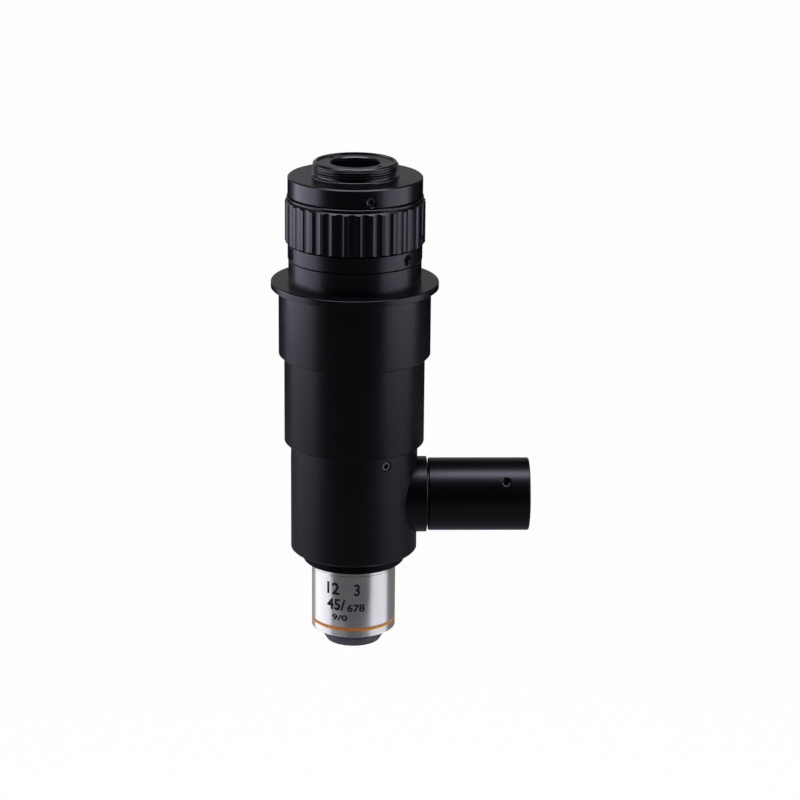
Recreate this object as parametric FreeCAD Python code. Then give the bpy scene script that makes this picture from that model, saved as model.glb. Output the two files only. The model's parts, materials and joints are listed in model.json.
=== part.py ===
import FreeCAD, Part
import math
import os

# Camera tube of a microscope: a tube lens with a side light port and a long working distance objective.
#
# Lengths are in millimetres and angles in degrees. The optical axis is Z, and the camera screws on at
# the top. The origin lies on that axis, in the underside of the mounting flange, where the tube seats
# in its holder. The light port points along +X, and azimuths run from the front (-Y) towards +X.
# Every piece is turned about the optical axis or about the axis of the light port. Threads are plain
# cylinders at their outer size.

V = FreeCAD.Vector
ORIGIN = V(0, 0, 0)
OPTICAL_AXIS = V(0, 0, 1)

# Clearances, all on the radius or between two faces
slide_gap = 0.03
joint_gap = 0.02
lens_gap = 0.02

# Edges
fine_edge = 0.15
edge = 0.3
rim_round = 0.4

# Mounting sleeve, which the holder grips
sleeve_radius = 22.75
sleeve_length = 20.65
flange_overhang = 2.3
flange_thickness = 2.0
sleeve_wall = 1.63
sleeve_lip_thickness = 1.2

# Main barrel
barrel_length = 48.0
barrel_wall = 2.58

# Neck tube between the barrel and the focusing head
neck_shoulder = 1.3
neck_height = 8.0
neck_skirt_length = 8.0
neck_edge = 0.25
spigot_inset = 3.3
spigot_height = 4.35
head_bore_wall = 2.2

# Set screws
screw_radius = 1.5
screw_point_radius = 0.3
screw_edge = 0.25
screw_hole_edge = 0.2
socket_across_flats = 1.5
socket_depth = 1.2
groove_depth = 0.5
screws_per_ring = 3

# Base collar of the focusing head, clamped on the neck by its screws
collar_overhang = 0.2
collar_height = 4.8
collar_web = 0.35
collar_screw_height = 2.43
collar_screw_azimuth = 49.6
collar_screw_length = 2.5
journal_inset = 1.13
journal_height = 4.9
guide_wall = 1.97
guide_height = 8.05

# Focus ring
ring_wall = 1.9
ring_gap = 0.3
ring_height = 13.95
ring_step_gap = 0.1
flute_count = 35
flute_width = 2.85
flute_depth = 0.36
flute_first_ridge = 2.0
ring_edge = 0.4
ring_high_edge = 0.5
lip_height = 0.7
lip_inset = 0.5
lip_groove_height = 0.4
lip_groove_inset = 1.1
ring_screw_height = 1.85
ring_screw_ridge = 7
ring_screw_length = 1.5
dog_point_radius = 0.75
dog_point_length = 0.62

# Sliding head: cap and threaded skirt in one piece
head_wall = 1.97
head_gap = 0.35
cap_inset = 0.8
cap_height = 5.5
cap_plate = 1.1
cap_edge = 0.35
skirt_length = 9.15
head_screw_height = 1.8
head_screw_azimuth = 13.0
head_screw_length = 3.0

# Guide key, which keeps the head from turning
key_radius = 1.0
key_height = 8.95
key_reach = 1.6
key_sunk = 0.5
key_azimuth = 180.0

# Camera thread ring, 1-32 UN
camera_thread_radius = 12.7
camera_thread_height = 2.65
camera_relief_height = 1.0
camera_relief_depth = 0.7
camera_step_radius = 13.0
camera_step_height = 0.45
camera_wall = 1.45
camera_flange_thickness = 3.65
camera_bore_radius = 10.0
retainer_recess = 0.4
retainer_thickness = 2.0
retainer_opening = 7.35
spanner_hole_radius = 0.75
spanner_hole_depth = 1.2
spanner_hole_circle = 9.17
spanner_hole_azimuth = 48.6
camera_lens_edge = 1.4
camera_lens_curve = 60.0

# Tube lens and its cell, which also joins the barrel to the splitter housing
cell_length = 12.0
cell_spigot_inset = 1.4
cell_spigot_length = 6.5
cell_wall = 3.6
tube_lens_lip = 1.2
cell_top_plate = 2.0
crown_edge = 1.6
crown_curve = 60.0
cement_curve = 45.0
flint_edge = 3.6
flint_curve = 150.0
tube_lens_retainer_height = 2.0

# Splitter housing
housing_wall = 2.07
housing_height = 34.3
housing_floor = 2.5
housing_edge = 0.4
housing_screw_drop = 3.15
housing_screw_azimuth = 29.4
housing_screw_length = 2.0

# Splitter plate on its angled seat
plate_thickness = 1.1
plate_length = 28.6
plate_width = 22.0
splitter_bore_radius = 10.0

# Light port: collar in the housing wall and light tube
port_drop = 17.5
port_collar_wall = 1.92
port_collar_reach = 22.1
port_gap = 0.5
port_edge = 0.2
light_tube_length = 30.65
light_spigot_radius = 9.6
light_spigot_length = 5.1
socket_radius = 8.0
light_wall = 3.09
light_socket_length = 21.75
condenser_bore_radius = 7.2
condenser_bore_length = 4.5
condenser_lip = 1.0
condenser_edge = 1.5
condenser_curve = 16.0
condenser_retainer_height = 1.9
light_screw_inset = 7.35
light_screw_elevation = 37.4
light_screw_length = 2.0
light_screw_sunk = 0.1

# Nosepiece ring
objective_thread_radius = 10.16
nose_ring_height = 3.75
nose_ring_wall = 5.19
nose_spigot_wall = 2.34
nose_ring_edge = 0.25

# Objective
objective_radius = 12.8
objective_thread_length = 4.2
shoulder_height = 1.62
shoulder_edge = 0.25
parting_height = 0.2
parting_depth = 0.4
objective_barrel_length = 19.68
objective_sleeve_wall = 1.88
objective_inner_length = 16.43
objective_inner_wall = 1.6
objective_bore_radius = 8.6
rear_seat_depth = 3.05
band_rise = 2.2
band_height = 1.04
band_depth = 0.15
nose_cone_height = 2.15
nose_tip_radius = 9.3
nose_tip_height = 0.7
nose_taper_height = 1.7
nose_face_radius = 8.3
nose_mouth_radius = 5.2
nose_mouth_depth = 1.0
front_aperture_radius = 4.0
front_lens_radius = 5.45
front_lens_edge = 0.8
front_lens_curve = 7.5
front_seat_thickness = 0.2
front_lens_lip = 0.85
front_retainer_height = 2.0
rear_crown_edge = 1.4
rear_crown_curve = 22.0
rear_cement_curve = 18.0
rear_flint_edge = 3.2
rear_flint_curve = 60.0
rear_retainer_height = 1.5
rear_retainer_wall = 1.0

# Radii, worked out from the outside of the mounting sleeve inwards
flange_radius = sleeve_radius + flange_overhang
barrel_radius = sleeve_radius - sleeve_wall - joint_gap
barrel_bore = barrel_radius - barrel_wall
skirt_radius = barrel_bore - joint_gap
neck_radius = skirt_radius + neck_shoulder
spigot_radius = neck_radius - spigot_inset
collar_radius = neck_radius + collar_overhang
journal_radius = collar_radius - journal_inset
path_radius = spigot_radius - head_bore_wall
guide_radius = path_radius + guide_wall
head_bore = guide_radius + slide_gap
head_skirt_radius = head_bore + head_wall
ring_bore = head_skirt_radius + slide_gap
ring_radius = journal_radius + slide_gap + ring_wall
cap_radius = ring_radius - cap_inset
camera_flange_radius = head_bore - joint_gap
camera_recess = camera_thread_radius - camera_wall
cell_radius = barrel_bore - joint_gap
cell_spigot_radius = cell_radius - cell_spigot_inset
housing_bore = cell_spigot_radius + joint_gap
housing_radius = housing_bore + housing_wall
tube_lens_bore = cell_spigot_radius - cell_wall
tube_lens_radius = tube_lens_bore - lens_gap
nose_ring_radius = objective_thread_radius + nose_ring_wall
nose_spigot_radius = objective_thread_radius + nose_spigot_wall
port_collar_bore = light_spigot_radius + joint_gap
port_collar_radius = port_collar_bore + port_collar_wall
light_tube_radius = socket_radius + light_wall
objective_sleeve_bore = objective_radius - objective_sleeve_wall
objective_inner_radius = objective_sleeve_bore - joint_gap
rear_lens_bore = objective_inner_radius - objective_inner_wall
rear_lens_radius = rear_lens_bore - lens_gap
front_lens_bore = front_lens_radius + lens_gap

# Heights, worked out from the seat of the flange
sleeve_low = -sleeve_length
barrel_low = -barrel_length
barrel_high = flange_thickness - sleeve_lip_thickness
neck_high = barrel_high + neck_height
spigot_high = neck_high + spigot_height
collar_high = neck_high + collar_height
collar_socket_high = neck_high + collar_height - collar_web
journal_high = collar_high + journal_height
guide_high = journal_high + guide_height
ring_low = collar_high + ring_gap
ring_high = ring_low + ring_height
ring_step = journal_high + ring_step_gap
cap_low = ring_high + head_gap
cap_high = cap_low + cap_height
cap_seat = cap_high - cap_plate
skirt_low = cap_low - skirt_length
camera_step_high = cap_high + camera_step_height
camera_thread_low = camera_step_high + camera_relief_height
camera_thread_high = camera_thread_low + camera_thread_height
camera_top = camera_thread_high + edge
retainer_high = camera_top - retainer_recess
retainer_low = retainer_high - retainer_thickness
cell_high = barrel_low + cell_length
cell_spigot_low = barrel_low - cell_spigot_length
housing_low = barrel_low - housing_height
floor_high = housing_low + housing_floor
port_height = barrel_low - port_drop
nose_ring_low = housing_low - nose_ring_height
shoulder_low = nose_ring_low - shoulder_height
objective_barrel_high = shoulder_low - parting_height
objective_barrel_low = objective_barrel_high - objective_barrel_length
objective_inner_low = objective_barrel_high - objective_inner_length
nose_tip_high = objective_barrel_low - nose_cone_height
nose_tip_low = nose_tip_high - nose_tip_height
objective_low = nose_tip_low - nose_taper_height


def turned(outside, inside):
    """Piece turned about the optical axis.

    Both outlines are lists of (radius, height) from the lower end to the upper end.
    """
    corners = [V(radius, 0, height) for radius, height in outside + inside[::-1]]
    section = Part.Face(Part.makePolygon(corners + corners[:1]))
    return section.revolve(ORIGIN, OPTICAL_AXIS, 360)


def span(radius, low, high, low_cut=0, high_cut=0):
    """Outline of one diameter, with a 45 degree cut at either end. A negative cut opens a bore."""
    points = [(radius - low_cut, low)]
    if low_cut:
        points.append((radius, low + abs(low_cut)))
    if high_cut:
        points.append((radius, high - abs(high_cut)))
    points.append((radius - high_cut, high))
    return points


def vee(radius, height, depth):
    """Outline of a vee groove round a diameter, in which the points of set screws bear."""
    return [(radius, height - depth), (radius - depth, height), (radius, height + depth)]


def sag(curve, radius):
    """Depth of a spherical face at a radius. A hollow face has a negative curve, and a flat one is 0."""
    if curve == 0:
        return 0
    return curve - math.copysign(math.sqrt(curve ** 2 - radius ** 2), curve)


def lens(radius, low, high, low_curve, high_curve):
    """Lens whose cylindrical edge runs from low to high. A positive curve bulges outwards."""
    low_centre = V(0, 0, low - sag(low_curve, radius))
    high_centre = V(0, 0, high + sag(high_curve, radius))
    low_rim = V(radius, 0, low)
    high_rim = V(radius, 0, high)
    low_middle = low_centre + V(radius / 2, 0, sag(low_curve, radius / 2))
    high_middle = high_centre + V(radius / 2, 0, -sag(high_curve, radius / 2))
    low_face = Part.Arc(low_centre, low_middle, low_rim) if low_curve else Part.LineSegment(low_centre, low_rim)
    high_face = Part.Arc(high_rim, high_middle, high_centre) if high_curve else Part.LineSegment(high_rim, high_centre)
    edges = [low_face, Part.LineSegment(low_rim, high_rim), high_face, Part.LineSegment(high_centre, low_centre)]
    section = Part.Face(Part.Wire([edge_line.toShape() for edge_line in edges]))
    return section.revolve(ORIGIN, OPTICAL_AXIS, 360)


def rise(curve, lens_radius, radius):
    """How far a lens face stands out past its own edge at a smaller radius."""
    return sag(curve, lens_radius) - sag(curve, radius)


def rod(radius, start, end):
    """Cylinder along +X from start to end."""
    return Part.makeCylinder(radius, end - start, V(start, 0, 0), V(1, 0, 0))


def facing(shape, azimuth, height):
    """Turn a shape that was made along +X to an azimuth, and lift it to a height."""
    placed = shape.copy()
    placed.rotate(ORIGIN, OPTICAL_AXIS, azimuth - 90)
    placed.translate(V(0, 0, height))
    return placed


def round_the_ring(shape, azimuth, height, count=screws_per_ring):
    """Equally spaced copies of a shape that was made along +X."""
    return [facing(shape, azimuth + index * 360 / count, height) for index in range(count)]


def along_port(shape):
    """Lay a piece that was turned about Z on the axis of the light port."""
    placed = shape.copy()
    placed.rotate(ORIGIN, V(0, 1, 0), 90)
    placed.translate(V(0, 0, port_height))
    return placed


def on_light_screw(shape):
    """Turn a shape that was made along +X to the screw of the light tube."""
    placed = shape.copy()
    placed.rotate(ORIGIN, V(0, 1, 0), -90)
    placed.rotate(ORIGIN, V(1, 0, 0), 90 - light_screw_elevation)
    placed.translate(V(light_screw_x, 0, port_height))
    return placed


def screw_hole(start, surface):
    """Cutter for a tapped hole along +X from start, with a small countersink at the surface."""
    hole_radius = screw_radius + joint_gap
    hole = rod(hole_radius, start, surface + screw_radius)
    mouth = Part.makeCone(hole_radius, hole_radius + 2 * screw_hole_edge, 2 * screw_hole_edge,
                          V(surface - screw_hole_edge, 0, 0), V(1, 0, 0))
    return hole.fuse(mouth)


def hex_socket(length):
    """Cutter for a hexagon socket at the end of a screw that runs up from height 0."""
    corner = socket_across_flats / math.sqrt(3)
    turns = [math.radians(60 * index) for index in range(6)]
    corners = [V(corner * math.cos(turn), corner * math.sin(turn), length - socket_depth) for turn in turns]
    section = Part.Face(Part.makePolygon(corners + corners[:1]))
    return section.extrude(V(0, 0, socket_depth + 1))


def set_screw(start, length):
    """Set screw along +X with a cone point at start."""
    outline = [(screw_point_radius, 0), (screw_radius, screw_radius - screw_point_radius)]
    outline += [(screw_radius, length - screw_edge), (screw_radius - screw_edge, length)]
    screw = turned(outline, [(0, 0), (0, length)]).cut(hex_socket(length))
    screw.rotate(ORIGIN, V(0, 1, 0), 90)
    screw.translate(V(start, 0, 0))
    return screw


def dog_point_screw(start, length):
    """Set screw along +X with a plain cylindrical point, which runs in a groove."""
    outline = span(dog_point_radius, 0, dog_point_length) + span(screw_radius, dog_point_length, length, 0, screw_edge)
    screw = turned(outline, [(0, 0), (0, length)]).cut(hex_socket(length))
    screw.rotate(ORIGIN, V(0, 1, 0), 90)
    screw.translate(V(start, 0, 0))
    return screw


def point_start(radius):
    """Where the point of a set screw ends in the vee groove of a diameter."""
    return radius - groove_depth + screw_point_radius + joint_gap


# Places of the screws and of the parts along the light port
collar_screw_z = neck_high + collar_screw_height
head_screw_z = cap_low + head_screw_height
ring_screw_z = ring_low + ring_screw_height
ring_screw_azimuth = flute_first_ridge + ring_screw_ridge * 360 / flute_count
housing_screw_z = barrel_low - housing_screw_drop
key_z = collar_high + key_height
light_tube_x = port_collar_reach + port_gap
light_tube_end = light_tube_x + light_tube_length
light_spigot_x = light_tube_x - light_spigot_length
socket_x = light_tube_end - light_socket_length
condenser_seat_x = socket_x - condenser_bore_length
light_screw_x = light_tube_end - light_screw_inset


def mounting_sleeve():
    """Sleeve with the mounting flange. An inner lip closes it over the end of the barrel."""
    outside = span(sleeve_radius, sleeve_low, 0, edge) + span(flange_radius, 0, flange_thickness, fine_edge)
    inside = span(barrel_radius + joint_gap, sleeve_low, barrel_high)
    inside += span(neck_radius + joint_gap, barrel_high, flange_thickness)
    body = turned(outside, inside)
    rim = [line for line in body.Edges if is_circle_at(line, flange_radius, flange_thickness)]
    return body.makeFillet(rim_round, rim)


def is_circle_at(line, radius, height):
    """Is an edge of a turned piece the circle of this radius and height?"""
    box = line.BoundBox
    flat = abs(box.ZMin - height) < 0.001 and abs(box.ZMax - height) < 0.001
    return flat and abs(box.XMax - radius) < 0.001


def main_barrel():
    """Plain tube between the neck tube and the tube lens cell."""
    return turned(span(barrel_radius, barrel_low, barrel_high, edge), span(barrel_bore, barrel_low, barrel_high))


def neck_tube():
    """Neck above the flange, screwed into the barrel, with the spigot of the focusing head."""
    outside = span(skirt_radius, barrel_high - neck_skirt_length, barrel_high, edge)
    outside += span(neck_radius, barrel_high, neck_high, 0, neck_edge)
    outside += [(spigot_radius, neck_high)] + vee(spigot_radius, collar_screw_z, groove_depth)
    outside += [(spigot_radius, spigot_high)]
    inside = span(path_radius, barrel_high - neck_skirt_length, spigot_high)
    return turned(outside, inside)


def base_collar():
    """Fixed base of the focusing head: collar, journal of the focus ring and guide tube."""
    groove_half = dog_point_radius + slide_gap
    groove_floor = journal_radius - dog_point_length - slide_gap
    outside = span(collar_radius, neck_high, collar_high, neck_edge, fine_edge)
    outside += [(journal_radius, collar_high), (journal_radius, ring_screw_z - groove_half)]
    outside += span(groove_floor, ring_screw_z - groove_half, ring_screw_z + groove_half)
    outside += [(journal_radius, ring_screw_z + groove_half), (journal_radius, journal_high)]
    outside += span(guide_radius, journal_high, guide_high, 0, edge)
    inside = span(spigot_radius + joint_gap, neck_high, collar_socket_high)
    inside += span(path_radius, collar_socket_high, guide_high)
    holes = round_the_ring(screw_hole(spigot_radius - 1, collar_radius), collar_screw_azimuth, collar_screw_z)
    key_hole = facing(rod(key_radius, path_radius - 1, guide_radius + 1), key_azimuth, key_z)
    return turned(outside, inside).cut(holes + [key_hole])


def collar_set_screws():
    """Screws that clamp the focusing head on the neck."""
    screw = set_screw(point_start(spigot_radius), collar_screw_length)
    return Part.makeCompound(round_the_ring(screw, collar_screw_azimuth, collar_screw_z))


def guide_key():
    """Pin in the guide tube that runs in the slot of the head's skirt."""
    return facing(rod(key_radius, path_radius + key_sunk, guide_radius + key_reach), key_azimuth, key_z)


def flute_cutter():
    """Cutter of one flute, on the azimuth of the port. Its flute runs the whole height, outside the lip."""
    radius = (flute_width ** 2 / 4 + flute_depth ** 2) / (2 * flute_depth)
    centre = ring_radius - flute_depth + radius
    return Part.makeCylinder(radius, ring_height + 2, V(centre, 0, ring_low - 1))


def focus_ring():
    """Fluted ring with the nut thread that lifts the head."""
    fluted_high = ring_high - lip_height - lip_groove_height
    outside = span(ring_radius, ring_low, fluted_high, ring_edge, ring_high_edge)
    outside += span(ring_radius - lip_groove_inset, fluted_high, ring_high - lip_height)
    outside += span(ring_radius - lip_inset, ring_high - lip_height, ring_high, fine_edge, fine_edge)
    inside = span(journal_radius + slide_gap, ring_low, ring_step) + span(ring_bore, ring_step, ring_high)
    first_flute = flute_first_ridge + 180 / flute_count
    flutes = round_the_ring(flute_cutter(), first_flute, 0, flute_count)
    hole = facing(screw_hole(journal_radius - 1, ring_radius), ring_screw_azimuth, ring_screw_z)
    return turned(outside, inside).cut(flutes + [hole])


def focus_ring_screw():
    """Screw whose plain point holds the focus ring down on its journal."""
    screw = dog_point_screw(journal_radius - dog_point_length, ring_screw_length + dog_point_length)
    return facing(screw, ring_screw_azimuth, ring_screw_z)


def head_cap():
    """Cap of the sliding head with the threaded skirt that the focus ring drives."""
    outside = span(head_skirt_radius, skirt_low, cap_low, fine_edge)
    outside += span(cap_radius, cap_low, cap_high, fine_edge, cap_edge)
    inside = span(head_bore, skirt_low, cap_seat) + span(camera_step_radius + joint_gap, cap_seat, cap_high)
    holes = round_the_ring(screw_hole(head_bore - 1, cap_radius), head_screw_azimuth, head_screw_z)
    slot_half = key_radius + slide_gap
    slot_depth = key_z - skirt_low
    slot = Part.makeBox(head_wall + 2, 2 * slot_half, slot_depth, V(head_bore - 1, -slot_half, skirt_low))
    slot_end = Part.makeCylinder(slot_half, head_wall + 2, V(head_bore - 1, 0, key_z), V(1, 0, 0))
    slot_cutter = facing(slot.fuse(slot_end), key_azimuth, 0)
    return turned(outside, inside).cut(holes + [slot_cutter])


def head_set_screws():
    """Screws that lock the camera thread ring once the camera is squared up."""
    screw = set_screw(point_start(camera_flange_radius), head_screw_length)
    return Part.makeCompound(round_the_ring(screw, head_screw_azimuth, head_screw_z))


def camera_lens_low():
    """Height of the lower end of the camera lens's edge."""
    return retainer_low - lens_gap - camera_lens_edge


def camera_thread_ring():
    """Ring with the camera thread, free to turn in the head until its screws are tightened."""
    seat = camera_lens_low() - rise(camera_lens_curve, camera_recess - lens_gap, camera_bore_radius) - lens_gap
    outside = [(camera_flange_radius, cap_seat - camera_flange_thickness)]
    outside += vee(camera_flange_radius, head_screw_z, groove_depth) + [(camera_flange_radius, cap_seat)]
    outside += span(camera_step_radius, cap_seat, camera_step_high, 0, fine_edge)
    outside += span(camera_thread_radius - camera_relief_depth, camera_step_high, camera_thread_low)
    outside += [(camera_thread_radius, camera_thread_low), (camera_thread_radius, camera_thread_high)]
    outside += [(camera_thread_radius - edge, camera_top)]
    inside = span(camera_bore_radius, cap_seat - camera_flange_thickness, seat)
    inside += span(camera_recess, seat, camera_top, 0, -fine_edge)
    return turned(outside, inside)


def camera_lens():
    """Lens under the camera, flat side up."""
    return lens(camera_recess - lens_gap, camera_lens_low(), retainer_low - lens_gap, camera_lens_curve, 0)


def camera_lens_retainer():
    """Threaded ring over the lens, with two blind holes for the spanner."""
    body = turned(span(camera_recess - joint_gap, retainer_low, retainer_high, 0, fine_edge),
                  span(retainer_opening, retainer_low, retainer_high, 0, -edge))
    hole = Part.makeCylinder(spanner_hole_radius, spanner_hole_depth + 1,
                             V(spanner_hole_circle, 0, retainer_high - spanner_hole_depth))
    return body.cut(round_the_ring(hole, spanner_hole_azimuth, 0, 2))


def tube_lens_cell():
    """Cell screwed into the foot of the barrel, with the spigot that carries the housing."""
    lens_seat = cell_high - cell_top_plate
    outside = [(cell_spigot_radius - edge, cell_spigot_low), (cell_spigot_radius, cell_spigot_low + edge)]
    outside += vee(cell_spigot_radius, housing_screw_z, groove_depth) + [(cell_spigot_radius, barrel_low)]
    outside += span(cell_radius, barrel_low, cell_high, 0, edge)
    inside = span(tube_lens_bore, cell_spigot_low, lens_seat)
    inside += span(tube_lens_bore - tube_lens_lip, lens_seat, cell_high)
    return turned(outside, inside)


def tube_lens_heights():
    """Edge heights of the doublet: foot of the crown, cemented face and top of the flint."""
    seat = cell_high - cell_top_plate
    flint_high = seat - lens_gap - rise(flint_curve, tube_lens_radius, tube_lens_bore - tube_lens_lip)
    cement = flint_high - flint_edge
    return cement - crown_edge, cement, flint_high


def tube_lens_crown():
    """Lower glass of the tube lens."""
    low, cement, _ = tube_lens_heights()
    return lens(tube_lens_radius, low, cement, crown_curve, cement_curve)


def tube_lens_flint():
    """Upper glass of the tube lens, cemented on the crown."""
    _, cement, high = tube_lens_heights()
    return lens(tube_lens_radius, cement, high, -cement_curve, flint_curve)


def tube_lens_retainer():
    """Threaded ring that holds the doublet up against its seat."""
    low, _, _ = tube_lens_heights()
    opening = tube_lens_bore - tube_lens_lip
    high = low - rise(crown_curve, tube_lens_radius, opening) - lens_gap
    return turned(span(tube_lens_bore - joint_gap, high - tube_lens_retainer_height, high),
                  span(opening, high - tube_lens_retainer_height, high))


def splitter_housing():
    """Housing of the splitter plate, with the hole of the light port and the thread of the nosepiece."""
    outside = span(housing_radius, housing_low, barrel_low, housing_edge, fine_edge)
    inside = span(nose_spigot_radius + joint_gap, housing_low, floor_high)
    inside += span(housing_bore, floor_high, barrel_low)
    port = along_port(Part.makeCylinder(port_collar_radius + joint_gap, housing_radius + 1))
    holes = round_the_ring(screw_hole(housing_bore - 1, housing_radius), housing_screw_azimuth, housing_screw_z)
    return turned(outside, inside).cut(holes + [port])


def housing_set_screws():
    """Screws that clamp the housing on the spigot of the cell."""
    screw = set_screw(point_start(cell_spigot_radius), housing_screw_length)
    return Part.makeCompound(round_the_ring(screw, housing_screw_azimuth, housing_screw_z))


def tilted(shape):
    """Tilt a level shape at the origin to the splitter's 45 degrees and lift it to the port's axis."""
    placed = shape.copy()
    placed.rotate(ORIGIN, V(0, 1, 0), -45)
    placed.translate(V(0, 0, port_height))
    return placed


def beam_splitter():
    """Glass plate, whose lower face turns the light of the port down to the objective."""
    return tilted(Part.makeBox(plate_length, plate_width, plate_thickness, V(-plate_length / 2, -plate_width / 2, 0)))


def splitter_mount():
    """Bored plug, cut at 45 degrees, on whose slope the plate is bonded."""
    plug = turned(span(housing_bore - joint_gap, floor_high, cell_spigot_low),
                  span(splitter_bore_radius, floor_high, cell_spigot_low))
    reach = 4 * housing_radius
    below = tilted(Part.makeBox(reach, reach, reach, V(-reach / 2, -reach / 2, plate_thickness - reach)))
    return plug.cut(below)


def port_collar():
    """Collar set into the wall of the housing, which carries the light tube."""
    tube = along_port(turned(span(port_collar_radius, 0, port_collar_reach, 0, port_edge),
                             span(port_collar_bore, 0, port_collar_reach, 0, -fine_edge)))
    chamber = Part.makeCylinder(housing_bore + joint_gap, housing_height, V(0, 0, housing_low))
    return tube.cut(chamber)


def light_tube():
    """Tube of the light port: socket of the lamp, bore of the condenser and threaded spigot."""
    outside = span(light_spigot_radius, light_spigot_x, light_tube_x, edge)
    outside += span(light_tube_radius, light_tube_x, light_tube_end, port_edge, edge)
    inside = span(condenser_bore_radius - condenser_lip, light_spigot_x, condenser_seat_x)
    inside += span(condenser_bore_radius, condenser_seat_x, socket_x)
    inside += span(socket_radius, socket_x, light_tube_end, 0, -edge)
    hole = on_light_screw(screw_hole(socket_radius - 1, light_tube_radius))
    return along_port(turned(outside, inside)).cut(hole)


def light_tube_screw():
    """Screw that clamps the lamp in the socket."""
    return on_light_screw(set_screw(socket_radius + light_screw_sunk, light_screw_length))


def condenser_lens():
    """Lens that gathers the light of the lamp, flat side to the splitter."""
    low = condenser_seat_x + lens_gap
    return along_port(lens(condenser_bore_radius - lens_gap, low, low + condenser_edge, 0, condenser_curve))


def condenser_retainer():
    """Threaded ring that holds the condenser lens on its seat."""
    opening = condenser_bore_radius - condenser_lip
    edge_end = condenser_seat_x + lens_gap + condenser_edge
    low = edge_end + rise(condenser_curve, condenser_bore_radius - lens_gap, opening) + lens_gap
    return along_port(turned(span(condenser_bore_radius - joint_gap, low, low + condenser_retainer_height),
                             span(opening, low, low + condenser_retainer_height)))


def nosepiece_ring():
    """Ring under the housing with the thread of the objective."""
    outside = span(nose_ring_radius, nose_ring_low, housing_low, nose_ring_edge)
    outside += span(nose_spigot_radius, housing_low, floor_high)
    return turned(outside, span(objective_thread_radius, nose_ring_low, floor_high, -fine_edge))


def objective_mount():
    """Inner tube of the objective with its shoulder and thread."""
    thread_high = nose_ring_low + objective_thread_length
    rear_seat = objective_barrel_high - rear_seat_depth
    outside = span(objective_inner_radius, objective_inner_low, objective_barrel_high)
    outside += span(objective_radius - parting_depth, objective_barrel_high, shoulder_low)
    outside += span(objective_radius, shoulder_low, nose_ring_low, 0, shoulder_edge)
    outside += span(objective_thread_radius - joint_gap, nose_ring_low, thread_high, 0, edge)
    inside = span(rear_lens_bore, objective_inner_low, rear_seat)
    inside += span(objective_bore_radius, rear_seat, thread_high)
    return turned(outside, inside)


def objective_barrel():
    """Outer sleeve of the objective, with the groove of its colour band."""
    band_low = objective_barrel_low + band_rise
    outside = [(objective_radius - fine_edge, objective_barrel_low)]
    outside += [(objective_radius, objective_barrel_low + fine_edge), (objective_radius, band_low)]
    outside += span(objective_radius - band_depth, band_low, band_low + band_height)
    outside += [(objective_radius, band_low + band_height), (objective_radius, objective_barrel_high)]
    return turned(outside, span(objective_sleeve_bore, objective_barrel_low, objective_barrel_high))


def colour_band():
    """Enamel in the groove of the objective, whose colour tells the magnification."""
    band_low = objective_barrel_low + band_rise
    return turned(span(objective_radius, band_low, band_low + band_height),
                  span(objective_radius - band_depth, band_low, band_low + band_height))


def front_lens_low():
    """Height of the flat face of the front lens."""
    return objective_low + nose_mouth_depth + front_seat_thickness + lens_gap


def objective_nose():
    """Front cell of the objective: cone, tip and conical mouth."""
    outside = [(nose_face_radius, objective_low), (nose_tip_radius, nose_tip_low)]
    outside += [(nose_tip_radius, nose_tip_high), (objective_radius - fine_edge, objective_barrel_low)]
    outside += span(objective_inner_radius, objective_barrel_low, objective_inner_low)
    seat = front_lens_low() - lens_gap
    inside = [(nose_mouth_radius, objective_low), (front_aperture_radius, objective_low + nose_mouth_depth)]
    inside += [(front_aperture_radius, seat)] + span(front_lens_bore, seat, objective_inner_low)
    return turned(outside, inside)


def front_lens():
    """Lens at the tip of the objective, flat side to the object."""
    low = front_lens_low()
    return lens(front_lens_radius, low, low + front_lens_edge, 0, front_lens_curve)


def front_lens_retainer():
    """Threaded ring over the front lens."""
    opening = front_lens_radius - front_lens_lip
    edge_high = front_lens_low() + front_lens_edge
    low = edge_high + rise(front_lens_curve, front_lens_radius, opening) + lens_gap
    return turned(span(front_lens_bore - joint_gap, low, low + front_retainer_height),
                  span(opening, low, low + front_retainer_height))


def rear_lens_heights():
    """Edge heights of the objective's rear doublet, from its lower end up."""
    seat = objective_barrel_high - rear_seat_depth
    high = seat - lens_gap - rise(rear_flint_curve, rear_lens_radius, objective_bore_radius)
    cement = high - rear_flint_edge
    return cement - rear_crown_edge, cement, high


def rear_crown():
    """Lower glass of the rear doublet."""
    low, cement, _ = rear_lens_heights()
    return lens(rear_lens_radius, low, cement, rear_crown_curve, rear_cement_curve)


def rear_flint():
    """Upper glass of the rear doublet."""
    _, cement, high = rear_lens_heights()
    return lens(rear_lens_radius, cement, high, -rear_cement_curve, rear_flint_curve)


def rear_lens_retainer():
    """Threaded ring under the rear doublet."""
    low, _, _ = rear_lens_heights()
    opening = rear_lens_bore - rear_retainer_wall
    high = low - rise(rear_crown_curve, rear_lens_radius, opening) - lens_gap
    return turned(span(rear_lens_bore - joint_gap, high - rear_retainer_height, high),
                  span(opening, high - rear_retainer_height, high))


PIECES = [
    camera_thread_ring, camera_lens_retainer, camera_lens, head_cap, head_set_screws,
    focus_ring, focus_ring_screw,
    base_collar, collar_set_screws, guide_key, neck_tube, main_barrel, mounting_sleeve,
    tube_lens_cell, tube_lens_crown, tube_lens_flint, tube_lens_retainer,
    splitter_housing, housing_set_screws, splitter_mount, beam_splitter,
    port_collar, light_tube, light_tube_screw, condenser_lens, condenser_retainer,
    nosepiece_ring, objective_mount, objective_barrel, colour_band, objective_nose,
    front_lens, front_lens_retainer, rear_crown, rear_flint, rear_lens_retainer,
]

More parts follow.
